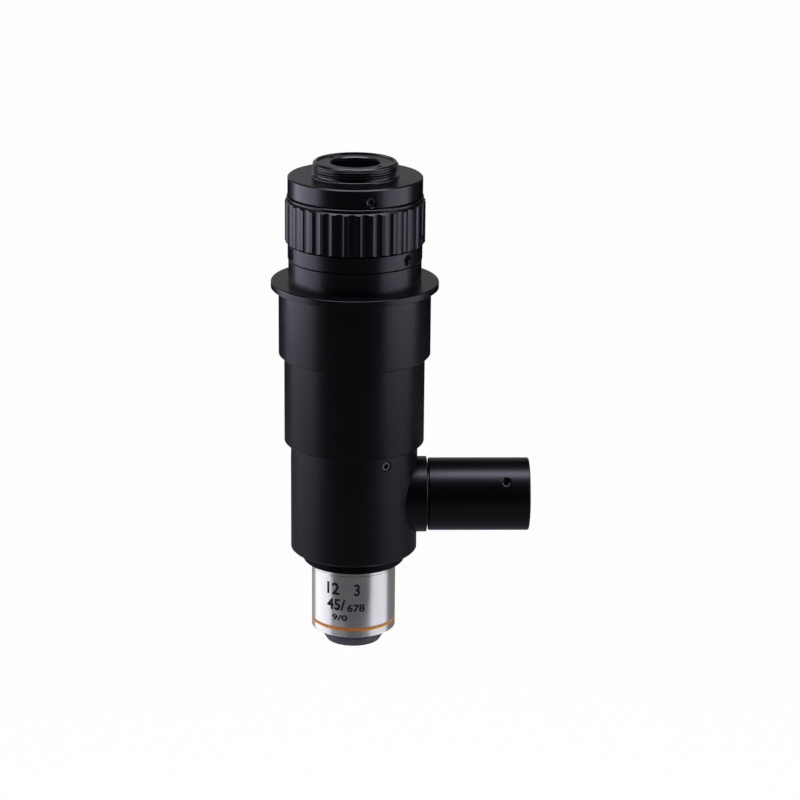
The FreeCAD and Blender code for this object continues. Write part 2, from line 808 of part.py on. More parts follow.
os.makedirs("parts", exist_ok=True)
for piece in PIECES:
    shape = piece()
    shape.exportStep(f"parts/{piece.__name__}.step")
    print(f"{piece.__name__:22s} solids {len(shape.Solids)} valid {shape.isValid()} volume {shape.Volume:.1f}")
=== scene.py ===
import json
import math

import bmesh
import bpy
from bpy.props import FloatProperty, FloatVectorProperty, IntProperty, PointerProperty, StringProperty
from bpy.types import Operator, Panel, PropertyGroup
from mathutils import Matrix, Vector


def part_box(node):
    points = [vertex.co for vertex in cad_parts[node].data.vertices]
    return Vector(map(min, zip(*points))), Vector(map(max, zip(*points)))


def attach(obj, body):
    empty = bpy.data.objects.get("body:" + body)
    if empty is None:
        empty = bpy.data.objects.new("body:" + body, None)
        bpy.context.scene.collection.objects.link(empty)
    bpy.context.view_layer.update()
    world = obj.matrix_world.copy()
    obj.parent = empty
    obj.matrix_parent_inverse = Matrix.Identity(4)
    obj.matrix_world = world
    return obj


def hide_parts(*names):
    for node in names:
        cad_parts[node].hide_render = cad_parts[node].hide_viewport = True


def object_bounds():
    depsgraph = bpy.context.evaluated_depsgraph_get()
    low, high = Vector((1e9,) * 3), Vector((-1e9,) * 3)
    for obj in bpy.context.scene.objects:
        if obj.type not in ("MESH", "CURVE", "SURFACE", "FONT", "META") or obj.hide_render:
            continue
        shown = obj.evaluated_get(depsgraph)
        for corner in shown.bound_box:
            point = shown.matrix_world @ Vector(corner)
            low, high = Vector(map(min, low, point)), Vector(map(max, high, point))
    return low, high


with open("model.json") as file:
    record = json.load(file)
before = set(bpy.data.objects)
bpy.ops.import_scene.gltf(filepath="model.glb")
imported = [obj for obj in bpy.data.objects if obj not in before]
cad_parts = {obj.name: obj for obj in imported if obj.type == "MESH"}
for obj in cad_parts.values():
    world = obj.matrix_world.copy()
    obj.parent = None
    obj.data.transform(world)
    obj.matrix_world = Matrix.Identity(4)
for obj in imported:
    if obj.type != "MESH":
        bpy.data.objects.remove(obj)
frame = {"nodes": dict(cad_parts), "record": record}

bl_info = {
    "name": "Camera tube looks",
    "version": (1, 0, 0),
    "blender": (4, 5, 0),
    "location": "3D View > Sidebar > Camera Tube",
    "description": "Finishes, fine threads, printed numbers and studio of a camera tube with its objective",
    "category": "Object",
}

CAD_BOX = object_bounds()
NODES = frame["nodes"]
MOUNTS = {mount["name"]: mount for mount in frame["record"]["mounts"]}
BODIES = frame["record"]["behaviour"]["bodies"]
BODY_OF_NODE = {node: body for body, nodes in BODIES.items() for node in nodes}
MM = 0.001

# The record names the finish of each node. Some black nodes have a variant of their own.
SLOT_OF_NODE = {part["node"]: part["material_slot"] for part in frame["record"]["subparts"]}
ALONG_PORT = ("port_collar", "light_tube", "condenser_retainer")
HOUSING_PARTS = ("splitter_housing", "splitter_mount")


def nodes_in(slot):
    """Names of the CAD nodes whose finish is this slot of the record."""
    return [node for node, name in SLOT_OF_NODE.items() if name == slot]


def outer_radius(node):
    """Radius of a piece that was turned about the optical axis or the axis of the light port."""
    low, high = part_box(node)
    return (high.y - low.y) / 2


def bore_radius(node, height):
    """Radius of the bore of a turned piece, at a height where its outline has a corner."""
    ring = [vert.co for vert in NODES[node].data.vertices if abs(vert.co.z - height) < 0.01 * MM]
    return min(math.hypot(place.x, place.y) for place in ring)


def screw_end(node):
    """Distance from the optical axis to the outer end of a screw."""
    return max(math.hypot(vert.co.x, vert.co.y) for vert in NODES[node].data.vertices)


def middle_height(node):
    """Height of the middle of a node."""
    low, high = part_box(node)
    return (low.z + high.z) / 2


# Sizes and colours that a user would change


class StudioSettings(PropertyGroup):
    """Camera, floor and lamps."""

    camera_place: FloatVectorProperty(
        name="Camera place", description="Where the lens of the camera is", subtype="TRANSLATION",
        unit="LENGTH", precision=5, default=(-0.01163, -0.77551, 0.20694))
    camera_yaw: FloatProperty(
        name="Yaw", description="Turn of the camera towards the light port", subtype="ANGLE",
        default=math.radians(1.877))
    camera_pitch: FloatProperty(
        name="Pitch", description="How far the camera looks down", subtype="ANGLE",
        default=math.radians(17.354))
    camera_roll: FloatProperty(
        name="Roll", description="Roll of the camera about its own axis", subtype="ANGLE",
        default=math.radians(0.565))
    focal_pixels: FloatProperty(
        name="Focal length", description="Focal length in pixels of the square picture", default=2692.2)
    picture_pixels: IntProperty(
        name="Picture width", description="Width of the picture in pixels", default=800)
    floor_drop: FloatProperty(
        name="Floor drop", description="How far the floor lies below the objective", unit="LENGTH",
        default=0.5)
    floor_radius: FloatProperty(
        name="Floor radius", description="Radius of the floor", unit="LENGTH", default=9.0)
    floor_glow: FloatProperty(
        name="Floor glow", description="Share of the floor's white that needs no lamp",
        subtype="FACTOR", min=0, max=1, default=0.985)
    floor_tone: FloatProperty(
        name="Floor tone", description="How much lamp light the floor gives back to the camera",
        subtype="FACTOR", min=0, max=1, default=0.05)
    floor_bounce: FloatProperty(
        name="Floor bounce", description="How much lamp light the floor gives back to the part",
        subtype="FACTOR", min=0, max=1, default=0.04)
    # Strength of the light painted as a glow on the floor round the object, which the part mirrors and is
    # lit by.
    floor_painted_light: FloatProperty(
        name="Floor patch", description="Level at which the part mirrors the lit floor round it", min=0,
        default=0.23)
    room_light: FloatProperty(
        name="Room light", description="Level of the dim room round the lamps", min=0, default=0.015)
    sweep_light: FloatProperty(
        name="Sweep light", description="Level at which the part mirrors the white sweep behind it",
        min=0, default=0.5)
    sweep_fade: FloatProperty(
        name="Sweep fade", description="Share of that level which is lost towards the light port",
        subtype="FACTOR", min=0, max=1, default=0.6)
    lamp_colour: FloatVectorProperty(
        name="Lamp colour", description="Colour of the soft boxes", subtype="COLOR",
        default=(0.94, 0.96, 1.18), soft_max=2)
    room_colour: FloatVectorProperty(
        name="Room colour", description="Colour of the room", subtype="COLOR",
        default=(0.98, 0.99, 1.03), soft_max=2)
    left_level: FloatProperty(
        name="Left level", description="Brightness of the left soft box", default=4.9)
    right_level: FloatProperty(
        name="Right level", description="Brightness of the right soft box", default=4.0)
    lower_share: FloatProperty(
        name="Lower share",
        description="Brightness of the lower half of a soft box against its upper half",
        subtype="FACTOR", min=0, max=1, default=0.06)
    top_level: FloatProperty(
        name="Top level", description="Brightness of the strip overhead", default=9.4)


class FinishSettings(PropertyGroup):
    """Colours and gloss of the finishes."""

    anodised_colour: FloatVectorProperty(
        name="Anodised colour", description="Colour of the black anodising", subtype="COLOR",
        default=(0.0006, 0.0006, 0.0008))
    anodised_roughness: FloatProperty(
        name="Anodised roughness", description="Roughness of the black anodising", subtype="FACTOR",
        min=0, max=1, default=0.31)
    anisotropy: FloatProperty(
        name="Turning marks",
        description="How far the turning marks stretch reflections along the axis", subtype="FACTOR",
        min=0, max=1, default=0.2)
    port_roughness: FloatProperty(
        name="Port roughness", description="Roughness of the parts of the light port", subtype="FACTOR",
        min=0, max=1, default=0.32)
    housing_roughness: FloatProperty(
        name="Housing roughness", description="Roughness of the splitter housing and the nose ring",
        subtype="FACTOR", min=0, max=1, default=0.38)
    oxide_colour: FloatVectorProperty(
        name="Oxide colour", description="Colour of the blackened screws", subtype="COLOR",
        default=(0.07, 0.07, 0.074))
    chrome_colour: FloatVectorProperty(
        name="Chrome colour", description="Colour of the satin chrome", subtype="COLOR",
        default=(0.91, 0.89, 0.79))
    chrome_roughness: FloatProperty(
        name="Chrome roughness", description="Roughness of the satin chrome", subtype="FACTOR", min=0,
        max=1, default=0.46)
    # The nose is darker than its chrome: painted shade for the dark floor beneath it, which it mirrors.
    nose_colour_with_painted_shade: FloatVectorProperty(
        name="Nose colour", description="Colour of the polished nose", subtype="COLOR",
        default=(0.22, 0.22, 0.23))
    band_colour: FloatVectorProperty(
        name="Band colour", description="Colour of the enamel band", subtype="COLOR",
        default=(0.95, 0.32, 0.01))
    ink_colour: FloatVectorProperty(
        name="Ink colour", description="Colour of the printed numbers", subtype="COLOR",
        default=(0.012, 0.012, 0.014))


class ThreadSettings(PropertyGroup):
    """Sizes of the fine threads."""

    camera_pitch: FloatProperty(
        name="Camera pitch", description="Pitch of the camera thread, 32 turns to the inch",
        unit="LENGTH", precision=6, default=0.0254 / 32)
    camera_steps: IntProperty(
        name="Camera steps", description="Steps in one turn of the camera thread", default=96)
    screw_pitch: FloatProperty(
        name="Screw pitch", description="Pitch of the set screws' holes", unit="LENGTH", precision=6,
        default=0.0005)
    screw_steps: IntProperty(
        name="Screw steps", description="Steps in one turn of a screw hole", default=32)


class NumberSettings(PropertyGroup):
    """Printed numbers on the objective."""

    upper_row: StringProperty(name="Upper row", description="Numbers of the upper row", default="12")
    upper_end: StringProperty(
        name="End of the upper row", description="Number at the end of the row", default="3")
    middle_row: StringProperty(
        name="Middle row", description="Large numbers of the middle row", default="45/")
    middle_end: StringProperty(
        name="End of the middle row", description="Small numbers of the row", default="678")
    lower_row: StringProperty(name="Lower row", description="Numbers of the lower row", default="9/0")
    ink_thickness: FloatProperty(
        name="Ink thickness", description="How far the ink stands out", unit="LENGTH", precision=6,
        default=0.00002)


# Materials


class Level:
    """A value in a material. An expression on it adds the Math nodes."""

    def __init__(self, recipe, socket):
        self.recipe = recipe
        self.socket = socket

    def _join(self, operation, first, second):
        """A new value from two values and an operation."""
        node = self.recipe.node("ShaderNodeMath", {"operation": operation}, {0: first, 1: second})
        return Level(self.recipe, node.outputs[0])

    def __add__(self, other):
        return self._join("ADD", self, other)

    def __radd__(self, other):
        return self._join("ADD", other, self)

    def __rsub__(self, other):
        return self._join("SUBTRACT", other, self)

    def __mul__(self, other):
        return self._join("MULTIPLY", self, other)

    def __rmul__(self, other):
        return self._join("MULTIPLY", other, self)

    def __pow__(self, other):
        return self._join("POWER", self, other)


class Recipe:
    """The nodes of one material, or of the world."""

    def __init__(self, owner):
        owner.use_nodes = True
        self.tree = owner.node_tree
        self.tree.nodes.clear()

    def node(self, kind, settings=None, inputs=None):
        """Add a node, with its settings first and then the values or links of its sockets."""
        made = self.tree.nodes.new(kind)
        for name, value in (settings or {}).items():
            setattr(made, name, value)
        for name, value in (inputs or {}).items():
            socket = made.inputs[name]
            if isinstance(value, Level):
                self.tree.links.new(value.socket, socket)
            elif isinstance(value, bpy.types.NodeSocket):
                self.tree.links.new(value, socket)
            else:
                socket.default_value = value
        return made

    def level(self, node, output=0):
        """An output of a node as a value for expressions."""
        return Level(self, node.outputs[output])

    def noise(self, vector, scale, detail, roughness=0.5):
        """Noise from 0 to 1 at a place."""
        settings = {"noise_dimensions": "3D"}
        inputs = {"Vector": vector, "Scale": scale, "Detail": detail, "Roughness": roughness}
        return self.level(self.node("ShaderNodeTexNoise", settings, inputs), "Fac")

    def ramp(self, value, low, high):
        """Smooth rise from 0 at a low value to 1 at a high one."""
        settings = {"interpolation_type": "SMOOTHSTEP", "clamp": True}
        inputs = {"Value": value, "From Min": low, "From Max": high, "To Min": 0.0, "To Max": 1.0}
        return self.level(self.node("ShaderNodeMapRange", settings, inputs))

    def mix(self, share, first, second):
        """Colour between two colours. The node's sockets 6, 7 and 2 are the ones for colours."""
        settings = {"data_type": "RGBA"}
        made = self.node("ShaderNodeMix", settings, {0: share, 6: (*first, 1), 7: (*second, 1)})
        return made.outputs[2]


def turning_place(recipe, along_port):
    """Place on a turned piece, and its radius and height alone, on which marks run round the piece."""
    place = recipe.node("ShaderNodeTexCoord").outputs["Object"]
    if along_port:
        port_height = MOUNTS["light_socket"]["pos_m"][2]
        settings = {"vector_type": "TEXTURE"}
        inputs = {"Vector": place, "Location": (0, 0, port_height), "Rotation": (0, math.pi / 2, 0)}
        place = recipe.node("ShaderNodeMapping", settings, inputs).outputs[0]
    parts = recipe.node("ShaderNodeSeparateXYZ", None, {0: place})
    across, depth, height = (recipe.level(parts, axis) for axis in range(3))
    radius = (across * across + depth * depth) ** 0.5
    rings = recipe.node("ShaderNodeCombineXYZ", None, {0: radius, 1: 0.0, 2: height}).outputs[0]
    return place, rings


def tinted(colour, share):
    """A colour times a share."""
    return tuple(channel * share for channel in colour)


def finish_surface(material, recipe, shader_inputs):
    """Close a material with its main shader."""
    shader = recipe.node("ShaderNodeBsdfPrincipled", None, shader_inputs)
    recipe.node("ShaderNodeOutputMaterial", None, {"Surface": shader.outputs[0]})
    return material


def anodised(name, roughness, along_port=False, index=1.34):
    """Satin black anodising over fine turning marks. A low refractive index makes it duller."""
    finish = bpy.context.scene.tube_finish
    colour = finish.anodised_colour
    material = bpy.data.materials.new(name)
    recipe = Recipe(material)
    place, rings = turning_place(recipe, along_port)
    marks = recipe.noise(rings, scale=9000, detail=3)
    clouds = recipe.noise(place, scale=220, detail=3)
    grain = recipe.noise(place, scale=6000, detail=2)
    bump = recipe.node("ShaderNodeBump", None, {
        "Strength": 0.5, "Distance": 0.0000012, "Height": marks + 0.7 * grain})
    return finish_surface(material, recipe, {
        "Base Color": recipe.mix(0.6 * clouds + 0.4 * marks, colour, tinted(colour, 1.8)),
        "Roughness": roughness - 0.05 + 0.05 * clouds + 0.05 * marks,
        "Normal": bump.outputs[0],
        "IOR": index,
        "Anisotropic": 0.0 if along_port else finish.anisotropy,
        "Anisotropic Rotation": 0.25,
    })


def oxide(name, colour):
    """Blackened steel of the set screws."""
    material = bpy.data.materials.new(name)
    recipe = Recipe(material)
    place = recipe.node("ShaderNodeTexCoord").outputs["Object"]
    clouds = recipe.noise(place, scale=900, detail=3)
    grain = recipe.noise(place, scale=9000, detail=2)
    bump = recipe.node("ShaderNodeBump", None, {"Strength": 0.4, "Distance": 0.000003, "Height": grain})
    return finish_surface(material, recipe, {
        "Base Color": recipe.mix(clouds, colour, tinted(colour, 1.8)),
        "Metallic": 0.8,
        "Roughness": 0.3 + 0.15 * clouds,
        "Normal": bump.outputs[0],
    })


def turned_chrome(name, colour, roughness, mark_depth, metal):
    """Chrome on fine turning marks, which draw the lamps out along the objective."""
    material = bpy.data.materials.new(name)
    recipe = Recipe(material)
    place, rings = turning_place(recipe, along_port=False)
    marks = recipe.noise(rings, scale=11000, detail=3, roughness=0.6)
    bands = recipe.noise(rings, scale=900, detail=2)
    clouds = recipe.noise(place, scale=260, detail=2)
    bump = recipe.node("ShaderNodeBump", None, {
        "Strength": 1.0, "Distance": mark_depth, "Height": marks + 0.6 * bands})
    return finish_surface(material, recipe, {
        "Base Color": recipe.mix(0.5 * bands + 0.5 * clouds, colour, tinted(colour, 0.9)),
        "Metallic": metal,
        "Roughness": roughness - 0.03 + 0.06 * bands,
        "Normal": bump.outputs[0],
        "Anisotropic": 1.0,
        "Anisotropic Rotation": 0.25,
    })


def enamel(name, colour):
    """Enamel that fills the groove of the colour band."""
    material = bpy.data.materials.new(name)
    recipe = Recipe(material)
    place = recipe.node("ShaderNodeTexCoord").outputs["Object"]
    clouds = recipe.noise(place, scale=700, detail=3)
    bump = recipe.node("ShaderNodeBump", None, {"Strength": 0.3, "Distance": 0.00001, "Height": clouds})
    return finish_surface(material, recipe, {
        "Base Color": recipe.mix(clouds, colour, tinted(colour, 0.8)),
        "Roughness": 0.3 + 0.1 * clouds,
        "Normal": bump.outputs[0],
        "Coat Weight": 0.3,
        "Coat Roughness": 0.1,
    })


def ink(name, colour):
    """Matt ink of the printed numbers."""
    material = bpy.data.materials.new(name)
    recipe = Recipe(material)
    place = recipe.node("ShaderNodeTexCoord").outputs["Object"]
    clouds = recipe.noise(place, scale=3000, detail=2)
    return finish_surface(material, recipe, {
        "Base Color": recipe.mix(clouds, colour, tinted(colour, 1.6)),
        "Roughness": 0.5 + 0.1 * clouds,
        "Specular IOR Level": 0.15,
    })


def coated_glass(name, tint, coat_tint):
    """Polished glass with a thin coating that tints its reflection."""
    material = bpy.data.materials.new(name)
    recipe = Recipe(material)
    place = recipe.node("ShaderNodeTexCoord").outputs["Object"]
    clouds = recipe.noise(place, scale=60, detail=1)
    return finish_surface(material, recipe, {
        "Base Color": recipe.mix(clouds, tint, tinted(tint, 0.97)),
        "Roughness": 0.02,
        "IOR": 1.52,
        "Transmission Weight": 1.0,
        "Specular Tint": (*coat_tint, 1),
    })


def give_finish(piece, material):
    """Put a material on a piece."""
    piece.data.materials.clear()
    piece.data.materials.append(material)


# Shapes


def new_piece(name, shape, body):
    """Make an object of a bmesh, smooth but for its sharp edges, and let it ride on a body."""
    mesh = bpy.data.meshes.new(name)
    shape.to_mesh(mesh)
    shape.free()
    mesh.shade_smooth()
    mesh.set_sharp_from_angle(angle=math.radians(30))
    piece = bpy.data.objects.new(name, mesh)
    bpy.context.scene.collection.objects.link(piece)
    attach(piece, body)
    return piece


def turn_outline(shape, outline, steps):
    """Spin a closed outline of (radius, height) round the optical axis."""
    corners = [shape.verts.new((radius, 0, height)) for radius, height in outline]
    sides = [shape.edges.new(pair) for pair in zip(corners, corners[1:] + corners[:1])]
    bmesh.ops.spin(shape, geom=corners + sides, cent=(0, 0, 0), axis=(0, 0, 1), dvec=(0, 0, 0),
                   angle=2 * math.pi, steps=steps, use_merge=True)
    bmesh.ops.remove_doubles(shape, verts=shape.verts, dist=1e-7)
    bmesh.ops.recalc_face_normals(shape, faces=shape.faces)


def soften_rims(shape, width):
    """Round the rims of a turned shape."""
    sharp = math.radians(20)
    rims = [edge for edge in shape.edges if len(edge.link_faces) == 2 and edge.calc_face_angle() > sharp]
    bmesh.ops.bevel(shape, geom=rims, offset=width, offset_type="OFFSET", affect="EDGES", segments=2,
                    profile=0.5, material=-1, clamp_overlap=True)


def wind_ridge(root, crest, foot, flat, pitch, low, high, steps, reach):
    """Ridge of a right-hand thread from low to high, as a closed shape of its own.

    Reach gives the share of its depth that the thread has at a height, so that it can run out.
    """
    ridge = bmesh.new()
    corners = [(root, -foot / 2), (crest, -flat / 2), (crest, flat / 2), (root, foot / 2)]
    section = ridge.faces.new([ridge.verts.new((radius, 0, low + height)) for radius, height in corners])
    turns = (high - low) / pitch
    count = math.ceil(turns * steps)
    bmesh.ops.spin(ridge, geom=[section, *section.edges, *section.verts], cent=(0, 0, 0), axis=(0, 0, 1),
                   dvec=(0, 0, (high - low) / count), angle=2 * math.pi * turns, steps=count)
    ridge.verts.ensure_lookup_table()
    for vert in ridge.verts:
        radius = math.hypot(vert.co.x, vert.co.y)
        wanted = root + (radius - root) * reach(vert.co.z)
        bmesh.ops.scale(ridge, vec=(wanted / radius, wanted / radius, 1), verts=[vert])
    bmesh.ops.recalc_face_normals(ridge, faces=ridge.faces)
    return ridge


def cut_level(shape, height, keep_above):
    """Cut a shape off at a height and close it there."""
    normal = (0, 0, -1 if keep_above else 1)
    everything = [*shape.verts, *shape.edges, *shape.faces]
    bmesh.ops.bisect_plane(shape, geom=everything, dist=1e-9, plane_co=(0, 0, height), plane_no=normal,
                           clear_outer=True)
    bmesh.ops.holes_fill(shape, edges=[edge for edge in shape.edges if edge.is_boundary], sides=0)


def join(shape, other):
    """Add another shape to a shape."""
    mesh = bpy.data.meshes.new("joined")
    other.to_mesh(mesh)
    other.free()
    shape.from_mesh(mesh)
    bpy.data.meshes.remove(mesh)


def printed_row(text, height, width, left_azimuth, foot, radius, thickness):
    """Row of numbers, wrapped round the objective. It starts at an azimuth and stands on a height."""
    curve = bpy.data.curves.new("row", "FONT")
    curve.body = text
    curve.resolution_u = 4
    curve.offset = 0.03
    writing = bpy.data.objects.new("row", curve)
    bpy.context.scene.collection.objects.link(writing)
    bpy.context.view_layer.update()
    flat = bpy.data.meshes.new_from_object(writing.evaluated_get(bpy.context.evaluated_depsgraph_get()))
    shape = bmesh.new()
    shape.from_mesh(flat)
    bpy.data.objects.remove(writing)
    bpy.data.curves.remove(curve)
    bpy.data.meshes.remove(flat)
    bmesh.ops.remove_doubles(shape, verts=shape.verts, dist=1e-5)
    low_x, high_x = (pick(vert.co.x for vert in shape.verts) for pick in (min, max))
    low_y, high_y = (pick(vert.co.y for vert in shape.verts) for pick in (min, max))
    bmesh.ops.translate(shape, vec=(-low_x, -low_y, 0), verts=shape.verts)
    bmesh.ops.scale(shape, vec=(width / (high_x - low_x), height / (high_y - low_y), 1), verts=shape.verts)
    slice_width = 0.25 * MM
    slices = math.ceil(width / slice_width)
    for index in range(1, slices):
        everything = [*shape.verts, *shape.edges, *shape.faces]
        bmesh.ops.bisect_plane(shape, geom=everything, dist=1e-8, plane_co=(width * index / slices, 0, 0),
                               plane_no=(1, 0, 0))
    raised = bmesh.ops.extrude_face_region(shape, geom=shape.faces[:], use_keep_orig=True)
    top = [item for item in raised["geom"] if isinstance(item, bmesh.types.BMVert)]
    bmesh.ops.translate(shape, vec=(0, 0, thickness), verts=top)
    bmesh.ops.recalc_face_normals(shape, faces=shape.faces)
    for vert in shape.verts:
        azimuth = math.radians(left_azimuth) + vert.co.x / radius
        distance = radius + vert.co.z - thickness / 2
        vert.co = (distance * math.sin(azimuth), -distance * math.cos(azimuth), foot + vert.co.y)
    return shape


# One operator for each piece or group of like pieces


class TUBE_OT_black_parts(Operator):
    """Give the turned aluminium parts their satin black anodising"""

    bl_idname = "tube.black_parts"
    bl_label = "Black anodised parts"

    def execute(self, context):
        finish = context.scene.tube_finish
        round_axis = anodised("black_anodised", finish.anodised_roughness)
        round_port = anodised("black_anodised_port", finish.port_roughness, along_port=True)
        housing = anodised("black_anodised_housing", finish.housing_roughness)
        # The nose ring gets a duller copy of the anodising, with a lower refractive index: painted shade
        # for the shadow under the housing.
        nose_ring_painted_shade = anodised("black_anodised_nose_painted_shade", finish.housing_roughness, index=1.2)
        variants = {"nosepiece_ring": nose_ring_painted_shade}
        variants.update((node, round_port) for node in ALONG_PORT)
        variants.update((node, housing) for node in HOUSING_PARTS)
        for node in nodes_in("black_anodised"):
            give_finish(NODES[node], variants.get(node, round_axis))
        give_finish(self.turn_sleeve(), round_axis)
        return {"FINISHED"}

    def turn_sleeve(self):
        """Mounting sleeve with its flange, whose upper rim is evenly rounded."""
        low, high = (corner.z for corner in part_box("mounting_sleeve"))
        sleeve = MOUNTS["holder_barrel"]["dims"]["r_mm"] * MM
        flange = outer_radius("mounting_sleeve")
        barrel_bore = bore_radius("mounting_sleeve", low)
        neck_bore = bore_radius("mounting_sleeve", high)
        lip = high - 1.2 * MM
        edge = 0.3 * MM
        fine_edge = 0.15 * MM
        rounding = 0.4 * MM
        support = 0.02 * MM
        rim_steps = 10
        rim = []
        for step in range(rim_steps + 1):
            turn = math.radians(90 * step / rim_steps)
            rim.append((flange - rounding + rounding * math.cos(turn),
                        high - rounding + rounding * math.sin(turn)))
        shape = bmesh.new()
        turn_outline(shape, [
            (barrel_bore, low), (sleeve - edge, low), (sleeve, low + edge), (sleeve, 0),
            (flange - fine_edge, 0), (flange, fine_edge), (flange, high - rounding - support), *rim,
            (flange - rounding - support, high), (neck_bore, high), (neck_bore, lip), (barrel_bore, lip),
        ], steps=240)
        piece = new_piece("mounting_sleeve_with_flange", shape, BODY_OF_NODE["mounting_sleeve"])
        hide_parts("mounting_sleeve")
        return piece


class TUBE_OT_camera_thread(Operator):
    """Model the ring with the camera thread, whose turns are cut as a real helix"""

    bl_idname = "tube.camera_thread"
    bl_label = "Camera thread"

    def execute(self, context):
        thread = context.scene.tube_thread
        pitch = thread.camera_pitch
        mount = MOUNTS["camera_thread"]
        crest = mount["dims"]["r_mm"] * MM
        thread_low = mount["pos_m"][2] - mount["dims"]["length_mm"] * MM / 2
        low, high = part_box("camera_thread_ring")
        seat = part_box("head_cap")[1].z
        thread_depth = 0.613 * pitch
        root = crest - thread_depth
        relief = crest - 0.7 * MM
        relief_low = thread_low - 1.0 * MM
        step = crest + 0.3 * MM
        chamfer = 0.7 * MM
        recess = outer_radius("camera_lens_retainer") + 0.02 * MM
        bore = recess - 1.25 * MM
        lens_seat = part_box("camera_lens")[0].z
        under_cap = seat - 1.1 * MM
        flange = high.x
        edge = 0.15 * MM
        chamfer_low = high.z - chamfer + thread_depth
        outline = [
            (bore, low.z), (flange, low.z), (flange, under_cap), (step, under_cap),
            (step, relief_low - edge), (step - edge, relief_low), (relief, relief_low),
            (relief, thread_low), (root, thread_low), (root, chamfer_low), (crest - chamfer, high.z),
            (recess, high.z), (recess, lens_seat), (bore, lens_seat),
        ]
        shape = bmesh.new()
        turn_outline(shape, outline, steps=144)
        soften_rims(shape, width=0.03 * MM)

        def reach(height):
            """Share of its depth that the thread keeps at a height, because the chamfer cuts it."""
            top = crest - chamfer + high.z - height
            return max(0.0, min(1.0, (top - root) / thread_depth))

        ridge = wind_ridge(
            root=root - 0.02 * MM, crest=crest, foot=0.9 * pitch, flat=0.14 * pitch, pitch=pitch,
            low=thread_low - pitch / 2, high=high.z - 0.1 * MM, steps=thread.camera_steps, reach=reach)
        cut_level(ridge, thread_low, keep_above=True)
        cut_level(ridge, chamfer_low, keep_above=False)
        join(shape, ridge)
        piece = new_piece("camera_thread", shape, "camera_head")
        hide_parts("camera_thread_ring")
        finish = context.scene.tube_finish
        # The thread ring and the lens retainer get a brighter copy of the anodising, with a higher
        # refractive index: painted highlight on the ring's rim.
        thread_painted_highlight_finish = anodised("black_anodised_thread_painted_highlight", finish.anodised_roughness, index=1.5)
        give_finish(piece, thread_painted_highlight_finish)
        give_finish(NODES["camera_lens_retainer"], thread_painted_highlight_finish)
        return {"FINISHED"}


class TUBE_OT_screws(Operator):
    """Give the screws their black oxide, and cut the turns of their threads in the holes over them"""

    bl_idname = "tube.screws"
    bl_label = "Set screws and their holes"

    def execute(self, context):
        finish = context.scene.tube_finish
        steel = oxide("black_oxide_steel", finish.oxide_colour)
        for node in nodes_in("black_oxide_steel"):
            give_finish(NODES[node], steel)
        black = anodised("black_anodised_holes", finish.anodised_roughness)
        holes_in_ring = 3
        for screws, host, first_azimuth in (("head_set_screws", "head_cap", 13.0),
                                            ("collar_set_screws", "base_collar", 49.6)):
            shape = bmesh.new()
            for index in range(holes_in_ring):
                turn = math.radians(first_azimuth + index * 360 / holes_in_ring - 90)
                place = Matrix.Rotation(turn, 4, "Z") @ Matrix.Rotation(math.pi / 2, 4, "Y")
                place = Matrix.Translation((0, 0, middle_height(screws))) @ place
                join(shape, self.hole_thread(context, screw_end(screws), outer_radius(host), place))
            piece = new_piece(screws.replace("_screws", "_hole_threads"), shape, BODY_OF_NODE[host])
            give_finish(piece, black)
        from_end = 7.35 * MM
        lean = math.radians(37.4)
        port = Vector((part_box("light_tube")[1].x - from_end, 0, MOUNTS["light_socket"]["pos_m"][2]))
        outwards = Vector((0, -math.cos(lean), math.sin(lean)))
        place = Matrix.Translation(port) @ outwards.to_track_quat("Z", "X").to_matrix().to_4x4()
        end = max((vert.co - port).dot(outwards) for vert in NODES["light_tube_screw"].data.vertices)
        shape = self.hole_thread(context, end, outer_radius("light_tube"), place)
        piece = new_piece("light_tube_hole_threads", shape, BODY_OF_NODE["light_tube"])
        give_finish(piece, black)
        return {"FINISHED"}

    def hole_thread(self, context, low, surface, place):
        """Turns of a thread in a hole, from the end of its screw to the countersink, set in place."""
        thread = context.scene.tube_thread
        pitch = thread.screw_pitch
        wall = 1.52 * MM
        countersink = 0.35 * MM
        ridge = wind_ridge(
            root=wall + 0.02 * MM, crest=wall - 0.6 * pitch, foot=0.8 * pitch, flat=0.15 * pitch,
            pitch=pitch, low=low + 0.05 * MM, high=surface - countersink, steps=thread.screw_steps,
            reach=lambda height: 1.0)
        bmesh.ops.transform(ridge, matrix=place, verts=ridge.verts)
        return ridge


